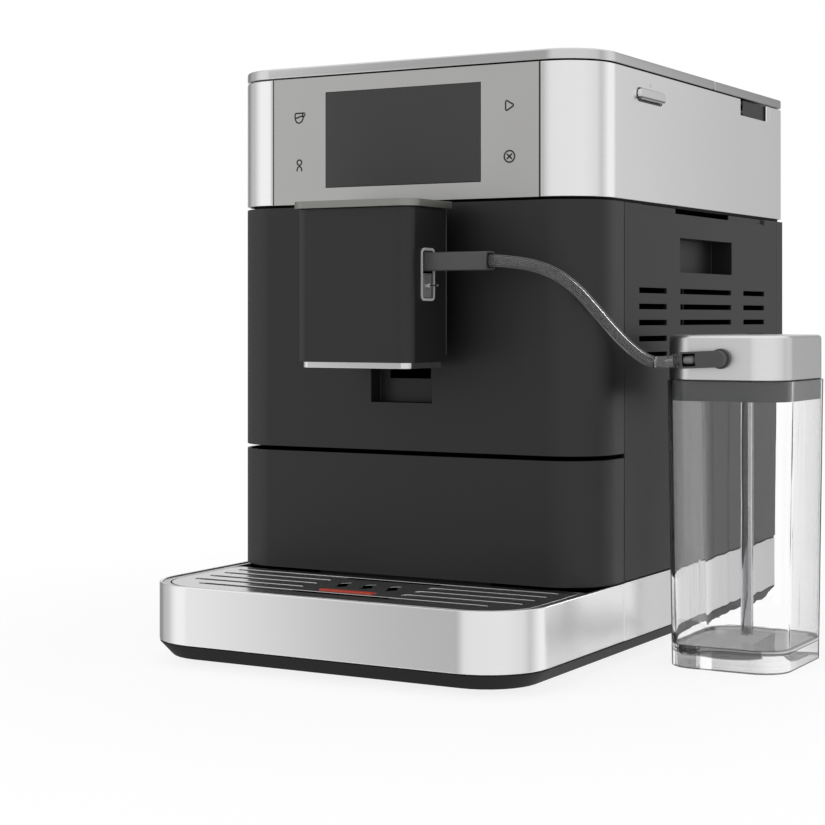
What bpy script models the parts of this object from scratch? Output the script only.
"""Bean to cup coffee machine with its milk container: metres, +Z up, front towards -Y."""
import math

import bmesh
import bpy
from mathutils import Matrix, Vector

for leftover in list(bpy.data.objects):
    bpy.data.objects.remove(leftover, do_unlink=True)

# Fits shared by all pieces
SEAT_GAP = 0.0003
RUNNING_GAP = 0.0005
SEAM = 0.0007
OVERRUN = 0.002
ARC_STEPS = 8
ROUND_STEPS = 20

# Whole machine
DEPTH = 0.3576
TRAY_REACH = 0.1064
TRAY_CORNER = 0.042
BODY_CORNER = 0.034
REAR_CORNER = 0.005
FRONT_SHELL_DEPTH = 0.0473

# Heights, stacked from the table up
FOOT_HEIGHT = 0.0037
PLINTH_HEIGHT = 0.0096
BASE_BAND_HEIGHT = 0.0375
BODY_SEAM = 0.0009
LOWER_COVER_HEIGHT = 0.0797
FRONT_SEAM = 0.0029
UPPER_PANEL_HEIGHT = 0.162
FASCIA_SEAM = 0.0018
FASCIA_HEIGHT = 0.0856
LID_SEAM = 0.0008
LID_THICKNESS = 0.0069

# Feet and plinth
FOOT_RADIUS = 0.013
FOOT_CHAMFER = 0.001
FOOT_MARGIN = 0.04
PLINTH_CHAMFER = 0.009
PLINTH_MIN_RADIUS = 0.001

# Walls
BAND_WALL = 0.002
UPPER_BAND_WALL = 0.0018
PANEL_WALL = 0.0025

# Guide recess in the upper front panel
GUIDE_HALF_WIDTH = 0.0231
GUIDE_HEIGHT = 0.1225
GUIDE_RISE = 0.0316
GUIDE_DEPTH = 0.012
GUIDE_WALL = 0.002
GUIDE_SLOT_HALF_WIDTH = 0.0155
GUIDE_SLOT_HEIGHT = 0.093
GUIDE_SLOT_RISE = 0.0158

# Side door and side panel
VENT_ROWS = 5
VENT_PITCH = 0.01065
VENT_HEIGHT = 0.0035
VENT_DROP = 0.0566
VENT_COLUMNS = ((0.0722, 0.1195), (0.1443, 0.2432), (0.2693, 0.3148))
GRIP_FRONT = 0.1437
GRIP_LENGTH = 0.1008
GRIP_HEIGHT = 0.0235
GRIP_DROP = 0.0199
GRIP_DEPTH = 0.016
GRIP_WALL = 0.002
SCOOP_FRONT = 0.0764
SCOOP_LENGTH = 0.2391
SCOOP_HEIGHT = 0.0036
SCOOP_DEPTH = 0.0012
DOOR_SLOT_FRONT = 0.1381
DOOR_SLOT_LENGTH = 0.1027
DOOR_PIVOT_RISE = 0.002

# Rear panel and power inlet
REAR_VENT_ROWS = 8
REAR_VENT_LENGTH = 0.09
INLET_X = -0.095
INLET_HEIGHT = 0.082
INLET_WIDTH = 0.028
INLET_TALL = 0.021
INLET_DEPTH = 0.024
INLET_WALL = 0.0025
INLET_SOCKET_DEPTH = 0.015
INLET_PIN_WIDTH = 0.002
INLET_PIN_TALL = 0.004
INLET_PIN_LENGTH = 0.011
INLET_PIN_SPREAD = 0.007
INLET_PIN_OFFSET = 0.002
INLET_RECESS = 0.0006

# Upper band, control panel and screen
CONTROL_SIDE_MARGIN = 0.0375
CONTROL_THICKNESS = 0.0025
SCREEN_HALF_WIDTH = 0.0588
SCREEN_HEIGHT = 0.0642
SCREEN_RISE = 0.0108
SCREEN_DEPTH = 0.009
NOTCH_FRONT = 0.2635
NOTCH_LENGTH = 0.057
NOTCH_DEPTH = 0.0118
BUTTON_FRONT = 0.0683
BUTTON_LENGTH = 0.0432
BUTTON_HEIGHT = 0.007
BUTTON_DROP = 0.0155
BUTTON_PROUD = 0.0028
BUTTON_INSIDE = 0.0075
BUTTON_FLANGE = 0.0022
BUTTON_TRAVEL = 0.0025

# Lids and their hinges
LID_SPLIT = 0.2104
LID_GAP = 0.001
LID_EDGE = 0.0012
LID_HEEL = 0.0024
FRONT_PIN_RADIUS = 0.0012
FRONT_PIN_INSET = 0.0037
FRONT_PIN_DROP = 0.0028
FRONT_PIN_HALF_LENGTH = 0.097
TANK_PIN_RADIUS = 0.001
TANK_PIN_INSET = 0.003
TANK_PIN_RISE = 0.0032
LUG_WIDTH = 0.011
LUG_SPREAD = 0.08
LUG_HALF_DEPTH = 0.003
TANK_LUG_HALF_DEPTH = 0.0023
LUG_ABOVE_PIN = 0.0018
NOTCH_MARGIN = 0.0017

# Chassis and top deck
CHASSIS_INSET = 0.0012
CHASSIS_FLOOR = 0.004
CHASSIS_PLATE = 0.004
SHELF_RISE = 0.0012
BULKHEAD_FRONT = 0.203
BULKHEAD_RIGHT = 0.116
DRAWER_END = 0.1509
DRAWER_END_GAP = 0.0016
DECK_THICKNESS = 0.003
DECK_FRONT = 0.0098
WASTE_HOLE_X = 0.005
WASTE_HOLE_Y = 0.09
WASTE_HOLE_WIDTH = 0.05
WASTE_HOLE_LENGTH = 0.04

# Hopper
HOPPER_SIDE_MARGIN = 0.0502
HOPPER_FRONT = 0.024
HOPPER_BACK = 0.196
HOPPER_WALL = 0.002
HOPPER_STRAIGHT = 0.0386
HOPPER_FLANGE_DROP = 0.001
THROAT_HALF = 0.014
DIAL_SIDE_MARGIN = 0.0262
DIAL_Y = 0.15
DIAL_RADIUS = 0.014
DIAL_HEIGHT = 0.0105
DIAL_CUP_DEPTH = 0.0115
DIAL_CUP_GAP = 0.003
DIAL_CUP_WALL = 0.002
DIAL_SHAFT_RADIUS = 0.003
DIAL_SHAFT_LENGTH = 0.01
DIAL_GRIP_WIDTH = 0.005

# Grinder
GRINDER_X = -0.035
GRINDER_Y = 0.115
GRINDER_RADIUS = 0.032
GRINDER_WALL = 0.0035
GRINDER_HEIGHT = 0.045
GRINDER_FLOOR_RISE = 0.01
GRINDER_OUTLET_WIDTH = 0.02
GRINDER_OUTLET_HEIGHT = 0.014
BURR_THICKNESS = 0.009
BURR_BORE = 0.011
BURR_GAP = 0.0006
BURR_SIDE_GAP = 0.0005
BURR_CONE_HEIGHT = 0.007
CARRIER_THICKNESS = 0.004
BURR_SHAFT_RADIUS = 0.004
BURR_SHAFT_LENGTH = 0.03
MOTOR_RADIUS = 0.026
MOTOR_HEIGHT = 0.062
MOTOR_BORE_DEPTH = 0.02

# Brew group
BREW_X = 0.07
BREW_Y = 0.115
CHAMBER_RADIUS = 0.027
CHAMBER_WALL = 0.003
CHAMBER_HEIGHT = 0.056
CHAMBER_FLANGE = 0.004
CHAMBER_FLANGE_THICKNESS = 0.003
BREW_FRAME_HEIGHT = 0.096
BREW_CHEEK = 0.003
BREW_CHEEK_DEPTH = 0.066
GEARBOX_WIDTH = 0.036
GEARBOX_HEIGHT = 0.012
GEARMOTOR_RADIUS = 0.0058
GEARMOTOR_LENGTH = 0.036
SPINDLE_RADIUS = 0.0035
SPINDLE_LENGTH = 0.04
SPINDLE_SEAT = 0.007
PISTON_THICKNESS = 0.008
PISTON_ROD_RADIUS = 0.0065
PISTON_ROD_LENGTH = 0.033
PISTON_RISE = 0.002
PISTON_SIDE_GAP = 0.0005
CHUTE_WIDTH = 0.03
CHUTE_WALL = 0.002
CHUTE_TALL = 0.016
CHUTE_LIP = 0.002

# Rear compartment
BLOCK_WIDTH = 0.1
BLOCK_DEPTH = 0.06
BLOCK_HEIGHT = 0.07
BLOCK_X = -0.065
BLOCK_STUB_RADIUS = 0.005
BLOCK_STUB_LENGTH = 0.014
PUMP_RADIUS = 0.021
PUMP_LENGTH = 0.06
PUMP_NECK_RADIUS = 0.012
PUMP_NECK_LENGTH = 0.014
PUMP_X = 0.075
PUMP_Y = 0.27
BOARD_WIDTH = 0.13
BOARD_HEIGHT = 0.12
BOARD_THICKNESS = 0.0016
BOARD_X = -0.045
BOARD_RISE = 0.12
BOARD_PARTS = ((-0.04, 0.03, 0.03, 0.024), (0.0, 0.03, 0.024, 0.016), (0.04, 0.028, 0.03, 0.02))
BOARD_PART_HEIGHT = 0.03
VALVE_X = 0.075
VALVE_WIDTH = 0.026
VALVE_HEIGHT = 0.036
VALVE_RISE = 0.12
VALVE_STUB_RADIUS = 0.004
VALVE_STUB_LENGTH = 0.01

# Water tank, which with a gap on both sides gives the machine its width
TANK_HALF_WIDTH = 0.126
TANK_SIDE_GAP = 0.0122
TANK_FRONT = 0.215
TANK_BACK = 0.352
TANK_CORNER = 0.008
TANK_WALL = 0.002
TANK_FLANGE_DROP = 0.001
TANK_FLANGE_THICKNESS = 0.002
TANK_FLANGE_GAP = 0.0008
TANK_OUTLET_X = 0.06
TANK_OUTLET_RADIUS = 0.006
TANK_OUTLET_BORE = 0.0035
TANK_OUTLET_LENGTH = 0.007
TANK_OUTLET_GAP = 0.001

# Spout
CAP_HALF_WIDTH = 0.0455
CAP_FRONT = 0.0665
CAP_BACK = 0.0135
CAP_CORNER = 0.0116
CAP_THICKNESS = 0.0046
CAP_BELOW_FASCIA = 0.0024
SPOUT_INSET = 0.0033
SPOUT_HEIGHT = 0.0973
SPOUT_BACK_INSET = 0.002
SPOUT_WALL = 0.0022
TRIM_WALL = 0.002
TRIM_HEIGHT = 0.0076
TRIM_SHOWN = 0.0037
NOZZLE_SPREAD = 0.013
NOZZLE_Y = -0.044
NOZZLE_RADIUS = 0.005
NOZZLE_BORE = 0.003
NOZZLE_LENGTH = 0.034
MANIFOLD_RISE = 0.0319
MANIFOLD_THICKNESS = 0.006
CARRIAGE_HEIGHT = 0.0615
CARRIAGE_DROP = 0.0054
CARRIAGE_TONGUE_HALF_WIDTH = 0.014
CARRIAGE_TONGUE_HEIGHT = 0.032
CARRIAGE_TONGUE_RISE = 0.0155
CARRIAGE_TONGUE_LENGTH = 0.008
SPOUT_TRAVEL = 0.055

# Milk port on the spout's right side
PORT_Y = -0.0411
PORT_WIDTH = 0.017
PORT_HEIGHT = 0.0332
PORT_DROP = 0.0254
PORT_CORNER = 0.0035
BEZEL_RIM = 0.0016
BEZEL_PROUD = 0.0009
BEZEL_DEPTH = 0.0045
PORT_COVER_HEIGHT = 0.0155
STEAM_PIN_RADIUS = 0.0013
STEAM_PIN_LENGTH = 0.0045
STEAM_PIN_PROUD = 0.0022

# Plug, hose and elbow
PLUG_SIZE = 0.0117
PLUG_EDGE = 0.0012
PLUG_INSIDE = 0.0085
PLUG_OUTSIDE = 0.0418
PLUG_COLLAR = 0.0035
PLUG_COLLAR_WALL = 0.001
PLUG_TOP_GAP = 0.0012
HOSE_DIAMETER = 0.0074
HOSE_POINTS = 18
HOSE_ROUTE = (
    (0.0843, -0.0412, 0.2574),
    (0.0935, -0.0412, 0.2572),
    (0.1010, -0.0398, 0.2564),
    (0.1090, -0.0362, 0.2552),
    (0.1175, -0.0299, 0.2525),
    (0.1251, -0.0205, 0.2474),
    (0.1314, -0.0079, 0.2387),
    (0.1364, 0.0078, 0.2266),
    (0.1418, 0.0232, 0.2136),
    (0.1492, 0.0345, 0.2023),
    (0.1582, 0.0405, 0.1952),
    (0.1671, 0.0428, 0.1941),
    (0.1756, 0.0434, 0.1951),
)
ELBOW_THICKNESS = 0.0087
ELBOW_TALL = 0.0105
ELBOW_LENGTH = 0.024
ELBOW_NOZZLE_RADIUS = 0.0026
ELBOW_NOZZLE_LENGTH = 0.0035
ELBOW_SOCKET_DEPTH = 0.0099
ELBOW_SOCKET_WALL = 0.0012
ELBOW_TILT = math.radians(2.7)
ELBOW_BOSS_RADIUS = 0.0064
ELBOW_BOSS_THICKNESS = 0.0012
ELBOW_X_FROM_LEFT = 0.0429
ELBOW_RISE = 0.0139

# Milk container
JUG_STAND_OFF = 0.0225
JUG_FRONT = 0.0474
JUG_WIDTH = 0.0835
JUG_DEPTH = 0.0989
JUG_HEIGHT = 0.1823
JUG_CORNER = 0.0222
JUG_TAPER = 0.0028
JUG_WALL = 0.0024
JUG_BASE = 0.014
JUG_LID_INSET = 0.0012
JUG_LID_HEIGHT = 0.0286
JUG_LID_WALL = 0.0034
JUG_LID_EDGE = 0.0022
SEAL_HEIGHT = 0.0128
SEAL_WALL = 0.004
SUCTION_RADIUS = 0.0038
SUCTION_BORE = 0.0024
SUCTION_FLOOR_GAP = 0.003
SUCTION_X = 0.0429
SUCTION_Y = 0.0476

# Drip tray
BASIN_WALL = 0.002
BASIN_FLOOR = 0.0023
BASIN_BELOW_BAND = 0.001
BASIN_REAR_MARGIN = 0.0037
GRILLE_MARGIN = 0.008
GRILLE_SEAT_GAP = 0.001
GRILLE_THICKNESS = 0.0022
GRILLE_BELOW_BAND = 0.0008
GRILLE_REAR = -0.0008
GRILLE_REAR_CORNER = 0.008
LEDGE_WIDTH = 0.004
LEDGE_THICKNESS = 0.0018
CROSSBAR = 0.004
SLOT_WIDTH = 0.007
SLOT_FIRST_Y = -0.0132
SLOT_PITCH = 0.0166
SLOT_SIDE_MARGINS = (0.0182, 0.0182, 0.0182, 0.0182, 0.0332)
SLOT_SPLIT_ROWS = (1, 2, 3)
PAD_HALF_WIDTH = 0.0365
WAVE_SPACING = 0.0185
WAVE_FRONT = -0.054
WAVE_LENGTH = 0.022
WAVE_WIDTH = 0.0072
WAVE_SWAY = 0.0022
WAVE_STEPS = 8
FLOAT_Y = -0.068
FLOAT_WIDTH = 0.0386
FLOAT_DEPTH = 0.005
FLOAT_PROUD = 0.0007
FLOAT_BASE_WIDTH = 0.048
FLOAT_BASE_DEPTH = 0.017
FLOAT_BASE_HEIGHT = 0.0135
FLOAT_RISE = 0.006

# Grounds container
GROUNDS_HALF_WIDTH = 0.065
GROUNDS_BACK = 0.125
GROUNDS_HEIGHT = 0.1015
GROUNDS_WALL = 0.002

# Places worked out from the sizes
HALF = TANK_HALF_WIDTH + TANK_SIDE_GAP
CONTROL_HALF_WIDTH = HALF - CONTROL_SIDE_MARGIN
HOPPER_HALF_WIDTH = HALF - HOPPER_SIDE_MARGIN
DIAL_X = HALF - DIAL_SIDE_MARGIN
BASIN_REAR_HALF_WIDTH = HALF - BASIN_REAR_MARGIN
PLINTH_BOTTOM = FOOT_HEIGHT + SEAT_GAP
PLINTH_TOP = PLINTH_BOTTOM + PLINTH_HEIGHT
BASE_BAND_BOTTOM = PLINTH_TOP + SEAT_GAP
BASE_BAND_TOP = BASE_BAND_BOTTOM + BASE_BAND_HEIGHT
BODY_BOTTOM = BASE_BAND_TOP + BODY_SEAM
LOWER_COVER_TOP = BODY_BOTTOM + LOWER_COVER_HEIGHT
UPPER_PANEL_BOTTOM = LOWER_COVER_TOP + FRONT_SEAM
BODY_TOP = UPPER_PANEL_BOTTOM + UPPER_PANEL_HEIGHT
FASCIA_BOTTOM = BODY_TOP + FASCIA_SEAM
FASCIA_TOP = FASCIA_BOTTOM + FASCIA_HEIGHT
LID_BOTTOM = FASCIA_TOP + LID_SEAM
LID_TOP = LID_BOTTOM + LID_THICKNESS
REAR_SHELL_FRONT = FRONT_SHELL_DEPTH + SEAM
DECK_BOTTOM = BODY_TOP + SEAT_GAP
DECK_TOP = DECK_BOTTOM + DECK_THICKNESS
SHELF_BOTTOM = UPPER_PANEL_BOTTOM + SHELF_RISE
SHELF_TOP = SHELF_BOTTOM + CHASSIS_PLATE
CHASSIS_HALF = HALF - PANEL_WALL - CHASSIS_INSET
FLOOR_TOP = BASE_BAND_BOTTOM + CHASSIS_FLOOR
BULKHEAD_BACK = BULKHEAD_FRONT + CHASSIS_PLATE
JUG_LEFT = HALF + JUG_STAND_OFF
JUG_X = JUG_LEFT + JUG_WIDTH / 2
JUG_BACK = JUG_FRONT + JUG_DEPTH
JUG_LID_BOTTOM = JUG_HEIGHT + SEAT_GAP
JUG_LID_TOP = JUG_LID_BOTTOM + JUG_LID_HEIGHT
CAP_TOP = FASCIA_BOTTOM - CAP_BELOW_FASCIA
CAP_BOTTOM = CAP_TOP - CAP_THICKNESS
SPOUT_TOP = CAP_BOTTOM - SEAT_GAP
SPOUT_BOTTOM = SPOUT_TOP - SPOUT_HEIGHT
SPOUT_HALF = CAP_HALF_WIDTH - SPOUT_INSET
SPOUT_FRONT = -(CAP_FRONT - SPOUT_INSET)
SPOUT_BACK = -(CAP_BACK + SPOUT_BACK_INSET)
SPOUT_CORNER = CAP_CORNER - SPOUT_INSET
SPOUT_INNER_HALF = SPOUT_HALF - SPOUT_WALL
SPOUT_INNER_FRONT = SPOUT_FRONT + SPOUT_WALL
SPOUT_INNER_BACK = SPOUT_BACK - SPOUT_WALL
SPOUT_INNER_CORNER = SPOUT_CORNER - SPOUT_WALL

# The object's frame: its origin is the middle of the base of the machine with its milk container
FRAME_X = -(JUG_LEFT + JUG_WIDTH - HALF) / 2
FRAME_Y = -(DEPTH - TRAY_REACH) / 2

FINISHES = {
    "black_plastic": ((0.040, 0.040, 0.042), 0.45, 0.0),
    "side_plastic": ((0.060, 0.060, 0.062), 0.5, 0.0),
    "dark_plastic": ((0.012, 0.012, 0.013), 0.55, 0.0),
    "grey_plastic": ((0.09, 0.09, 0.092), 0.45, 0.0),
    "brushed_steel": ((0.52, 0.52, 0.51), 0.3, 1.0),
    "polished_steel": ((0.78, 0.78, 0.78), 0.08, 1.0),
    "screen_glass": ((0.055, 0.055, 0.057), 0.12, 0.0),
    "clear_smoke": ((0.09, 0.09, 0.1), 0.08, 0.0),
    "red_plastic": ((0.42, 0.045, 0.025), 0.4, 0.0),
    "rubber": ((0.02, 0.02, 0.02), 0.85, 0.0),
    "sheet_steel": ((0.42, 0.43, 0.44), 0.45, 1.0),
    "cast_metal": ((0.35, 0.35, 0.36), 0.5, 1.0),
    "white_plastic": ((0.62, 0.62, 0.6), 0.5, 0.0),
    "green_board": ((0.02, 0.14, 0.06), 0.5, 0.0),
}


def finish(name):
    """A Principled material with the finish's colour, roughness and metallic value."""
    found = bpy.data.materials.get(name)
    if found:
        return found
    colour, roughness, metallic = FINISHES[name]
    made = bpy.data.materials.new(name)
    made.use_nodes = True
    shader = made.node_tree.nodes["Principled BSDF"]
    shader.inputs["Base Color"].default_value = (*colour, 1)
    shader.inputs["Roughness"].default_value = roughness
    shader.inputs["Metallic"].default_value = metallic
    return made


def joint_frame(name, place):
    """An empty on a joint's axis, which carries the pieces that move with the joint."""
    empty = bpy.data.objects.new(name, None)
    bpy.context.collection.objects.link(empty)
    empty.location = place
    return empty


MACHINE = joint_frame("machine_frame", (FRAME_X, FRAME_Y, 0))


def moving_frame(name, place, carrier=MACHINE, carrier_place=(0, 0, 0)):
    """A joint's empty at a place in the machine's own coordinates, on the body that carries it."""
    empty = joint_frame(name, Vector(place) - Vector(carrier_place))
    empty.parent = carrier
    return empty


# Outlines in plan, as lists of (x, y) that run anticlockwise
def arc(centre, radius, start, sweep=math.pi / 2, steps=ARC_STEPS):
    """Points along an arc, both ends included; one point where the radius is zero."""
    if radius <= 0:
        return [centre]
    turns = [start + sweep * step / steps for step in range(steps + 1)]
    return [(centre[0] + radius * math.cos(turn), centre[1] + radius * math.sin(turn)) for turn in turns]


def front_path(half, front, back, radius):
    """Open path from the right rear end round the two front corners to the left rear end."""
    left = arc((radius - half, front + radius), radius, math.pi)
    right = arc((half - radius, front + radius), radius, -math.pi / 2)
    return [(-half, back), *left, *right, (half, back)][::-1]


def back_path(half, front, back, radius):
    """Open path from the left front end round the two rear corners to the right front end."""
    return [(-x, -y) for x, y in front_path(half, -back, -front, radius)]


def rounded_plan(half, front, back, front_radius, back_radius, centre_x=0):
    """Closed rounded rectangle."""
    corners = (
        arc((half - front_radius, front + front_radius), front_radius, -math.pi / 2)
        + arc((half - back_radius, back - back_radius), back_radius, 0)
        + arc((back_radius - half, back - back_radius), back_radius, math.pi / 2)
        + arc((front_radius - half, front + front_radius), front_radius, math.pi)
    )
    return [(centre_x + x, y) for x, y in corners]


def rectangle(low_x, high_x, low_y, high_y):
    return [(low_x, low_y), (high_x, low_y), (high_x, high_y), (low_x, high_y)]


def circle(x, y, radius, steps=ROUND_STEPS):
    return arc((x, y), radius, 0, 2 * math.pi, steps)[:-1]


def obround(low, high, y, half_width, steps=4):
    """A slot along X with round ends."""
    right = arc((high - half_width, y), half_width, -math.pi / 2, math.pi, steps)
    left = arc((low + half_width, y), half_width, math.pi / 2, math.pi, steps)
    return right + left


def wave(x, front, length, width, sway, steps=WAVE_STEPS):
    """A slot along Y that sways once to each side and narrows at both ends."""
    places = [step / steps for step in range(steps + 1)]
    middle = [(x + sway * math.sin(2 * math.pi * t), front + length * t) for t in places]
    half = [width / 2 * math.sqrt(max(math.sin(math.pi * t), 0)) for t in places]
    right = [(point[0] + reach, point[1]) for point, reach in zip(middle, half)]
    left = [(point[0] - reach, point[1]) for point, reach in zip(middle, half)]
    return right + left[-2:0:-1]


# Solids, in the machine's own coordinates
def prism(points, bottom, top):
    """A plan outline raised from bottom to top."""
    shape = bmesh.new()
    face = shape.faces.new([shape.verts.new((x, y, bottom)) for x, y in points])
    raised = bmesh.ops.extrude_face_region(shape, geom=[face])["geom"]
    lifted = [part for part in raised if isinstance(part, bmesh.types.BMVert)]
    bmesh.ops.translate(shape, verts=lifted, vec=(0, 0, top - bottom))
    bmesh.ops.recalc_face_normals(shape, faces=shape.faces)
    return shape


def loft(levels):
    """A solid through outlines with equal numbers of points, each given with its height."""
    shape = bmesh.new()
    rings = [[shape.verts.new((x, y, z)) for x, y in points] for points, z in levels]
    for lower, upper in zip(rings, rings[1:]):
        count = len(lower)
        for step in range(count):
            after = (step + 1) % count
            shape.faces.new((lower[step], lower[after], upper[after], upper[step]))
    shape.faces.new(rings[0][::-1])
    shape.faces.new(rings[-1])
    bmesh.ops.recalc_face_normals(shape, faces=shape.faces)
    return shape


def block(low, high):
    """A box between two corners."""
    return prism(rectangle(low[0], high[0], low[1], high[1]), low[2], high[2])


def turned(x, y, profile, steps=ROUND_STEPS):
    """A solid of revolution about the vertical at (x, y); its profile starts and ends on the axis."""
    return loft([(circle(x, y, radius, steps), z) for radius, z in profile])


def along_x(shape, centre):
    """Lays a solid that stands on its own origin down, so that its height runs along +X from centre."""
    bmesh.ops.transform(shape, matrix=Matrix.Rotation(math.pi / 2, 4, "Y"), verts=shape.verts)
    bmesh.ops.translate(shape, verts=shape.verts, vec=centre)
    return shape


def along_y(shape, centre):
    """Lays a solid that stands on its own origin down, so that its height runs along +Y from centre."""
    bmesh.ops.transform(shape, matrix=Matrix.Rotation(-math.pi / 2, 4, "X"), verts=shape.verts)
    bmesh.ops.translate(shape, verts=shape.verts, vec=centre)
    return shape


def rod_x(start, radius, length, steps=ROUND_STEPS):
    return along_x(prism(circle(0, 0, radius, steps), 0, length), start)


def rod_y(start, radius, length, steps=ROUND_STEPS):
    return along_y(prism(circle(0, 0, radius, steps), 0, length), start)


def bevelled(shape, edges, width, segments=2):
    """Rounds the named edges."""
    options = {"profile": 0.5, "affect": "EDGES", "clamp_overlap": True}
    bmesh.ops.bevel(shape, geom=list(edges), offset=width, segments=segments, **options)
    return shape


def round_top(shape, width, segments=2):
    """Rounds the edges round the highest faces."""
    top = max(vert.co.z for vert in shape.verts)
    faces = [face for face in shape.faces if all(abs(vert.co.z - top) < SEAT_GAP for vert in face.verts)]
    rim = {edge for face in faces for edge in face.edges}
    return bevelled(shape, rim, width, segments)


def round_all(shape, width, angle=math.radians(40), segments=2):
    """Rounds every edge that is sharper than the angle."""
    sharp = [edge for edge in shape.edges if edge.calc_face_angle(0) > angle]
    return bevelled(shape, sharp, width, segments)


def merged(shapes):
    """Several solids that stand apart, as one mesh."""
    whole = shapes[0]
    for other in shapes[1:]:
        carried = bpy.data.meshes.new("carried")
        other.to_mesh(carried)
        other.free()
        whole.from_mesh(carried)
        bpy.data.meshes.remove(carried)
    return whole


def piece(name, shape, material, frame=MACHINE, frame_place=None):
    """An object from a solid. It sits at its joint's place, or else in the middle of its own base."""
    corners = [vert.co for vert in shape.verts]
    low = Vector([min(corner[axis] for corner in corners) for axis in range(3)])
    high = Vector([max(corner[axis] for corner in corners) for axis in range(3)])
    place = Vector(((low.x + high.x) / 2, (low.y + high.y) / 2, low.z))
    bmesh.ops.translate(shape, verts=shape.verts, vec=-place)
    mesh = bpy.data.meshes.new(name)
    shape.to_mesh(mesh)
    shape.free()
    mesh.materials.append(finish(material))
    made = bpy.data.objects.new(name, mesh)
    bpy.context.collection.objects.link(made)
    made.location = place - Vector(frame_place or (0, 0, 0))
    made.parent = frame
    made["own_place"] = place
    return made


def reshape(made, shape, operation):
    """A Boolean of a piece with a solid in the machine's coordinates, applied at once."""
    bmesh.ops.translate(shape, verts=shape.verts, vec=-Vector(made["own_place"]))
    mesh = bpy.data.meshes.new("tool")
    shape.to_mesh(mesh)
    shape.free()
    tool = bpy.data.objects.new("tool", mesh)
    bpy.context.collection.objects.link(tool)
    tool.parent = made.parent
    tool.location = made.location
    bpy.context.view_layer.update()
    modifier = made.modifiers.new("shape", "BOOLEAN")
    modifier.operation = operation
    modifier.solver = "EXACT"
    modifier.object = tool
    result = bpy.data.meshes.new_from_object(made.evaluated_get(bpy.context.evaluated_depsgraph_get()))
    made.modifiers.clear()
    old = made.data
    made.data = result
    result.name = made.name
    bpy.data.meshes.remove(old)
    bpy.data.objects.remove(tool, do_unlink=True)
    bpy.data.meshes.remove(mesh)
    return made


def cut(made, *shapes):
    for shape in shapes:
        reshape(made, shape, "DIFFERENCE")
    return made


def add(made, *shapes):
    for shape in shapes:
        reshape(made, shape, "UNION")
    return made


# Base: feet, plinth and the fixed part of the base band
def make_base():
    top = rounded_plan(HALF, -TRAY_REACH, DEPTH, TRAY_CORNER, REAR_CORNER)
    bottom = rounded_plan(
        HALF - PLINTH_CHAMFER,
        PLINTH_CHAMFER - TRAY_REACH,
        DEPTH - PLINTH_CHAMFER,
        TRAY_CORNER - PLINTH_CHAMFER,
        max(REAR_CORNER - PLINTH_CHAMFER, PLINTH_MIN_RADIUS),
    )
    piece("plinth", loft([(bottom, PLINTH_BOTTOM), (top, PLINTH_TOP)]), "dark_plastic")
    foot_x = HALF - PLINTH_CHAMFER - FOOT_MARGIN
    rows = {
        "front": PLINTH_CHAMFER - TRAY_REACH + FOOT_MARGIN + FOOT_CHAMFER,
        "rear": DEPTH - PLINTH_CHAMFER - FOOT_MARGIN,
    }
    narrow = FOOT_RADIUS - FOOT_CHAMFER
    profile = ((narrow, 0), (FOOT_RADIUS, FOOT_CHAMFER), (FOOT_RADIUS, FOOT_HEIGHT))
    for row, y in rows.items():
        for side, x in (("left", -foot_x), ("right", foot_x)):
            piece(f"foot_{row}_{side}", turned(x, y, profile), "rubber")
    outer = back_path(HALF, REAR_SHELL_FRONT, DEPTH, REAR_CORNER)
    inner = back_path(HALF - BAND_WALL, REAR_SHELL_FRONT, DEPTH - BAND_WALL, REAR_CORNER - BAND_WALL)
    piece("base_band", prism(outer + inner[::-1], BASE_BAND_BOTTOM, BASE_BAND_TOP), "brushed_steel")


# Chassis: floor behind the drawer, bulkhead, shelf over the grounds container, and the top deck
def make_chassis():
    rear = DEPTH - PANEL_WALL - CHASSIS_INSET
    low = (-CHASSIS_HALF, DRAWER_END + DRAWER_END_GAP, BASE_BAND_BOTTOM)
    chassis = piece("chassis", block(low, (CHASSIS_HALF, rear, FLOOR_TOP)), "sheet_steel")
    lift = (-CHASSIS_HALF, BULKHEAD_FRONT, FLOOR_TOP - CHASSIS_PLATE / 2)
    shelf_corner = BODY_CORNER - PANEL_WALL - CHASSIS_INSET
    shelf_front = PANEL_WALL + CHASSIS_INSET
    shelf = rounded_plan(CHASSIS_HALF, shelf_front, BULKHEAD_FRONT + CHASSIS_PLATE / 2, shelf_corner, 0)
    add(chassis, block(lift, (BULKHEAD_RIGHT, BULKHEAD_BACK, BODY_TOP)), prism(shelf, SHELF_BOTTOM, SHELF_TOP))
    hole = rectangle(
        WASTE_HOLE_X - WASTE_HOLE_WIDTH / 2,
        WASTE_HOLE_X + WASTE_HOLE_WIDTH / 2,
        WASTE_HOLE_Y - WASTE_HOLE_LENGTH / 2,
        WASTE_HOLE_Y + WASTE_HOLE_LENGTH / 2,
    )
    cut(chassis, prism(hole, SHELF_BOTTOM - OVERRUN, SHELF_TOP + OVERRUN))
    inset = UPPER_BAND_WALL + CHASSIS_INSET
    plan = rounded_plan(HALF - inset, DECK_FRONT, DEPTH - inset, BODY_CORNER - inset, 0)
    deck = piece("top_deck", prism(plan, DECK_BOTTOM, DECK_TOP), "sheet_steel")
    below, above = DECK_BOTTOM - OVERRUN, DECK_TOP + OVERRUN
    throat = circle(GRINDER_X, GRINDER_Y, THROAT_HALF)
    outlet = circle(TANK_OUTLET_X, (TANK_FRONT + TANK_BACK) / 2, TANK_OUTLET_RADIUS + TANK_OUTLET_GAP)
    cut(deck, merged([prism(throat, below, above), prism(outlet, below, above)]))


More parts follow.
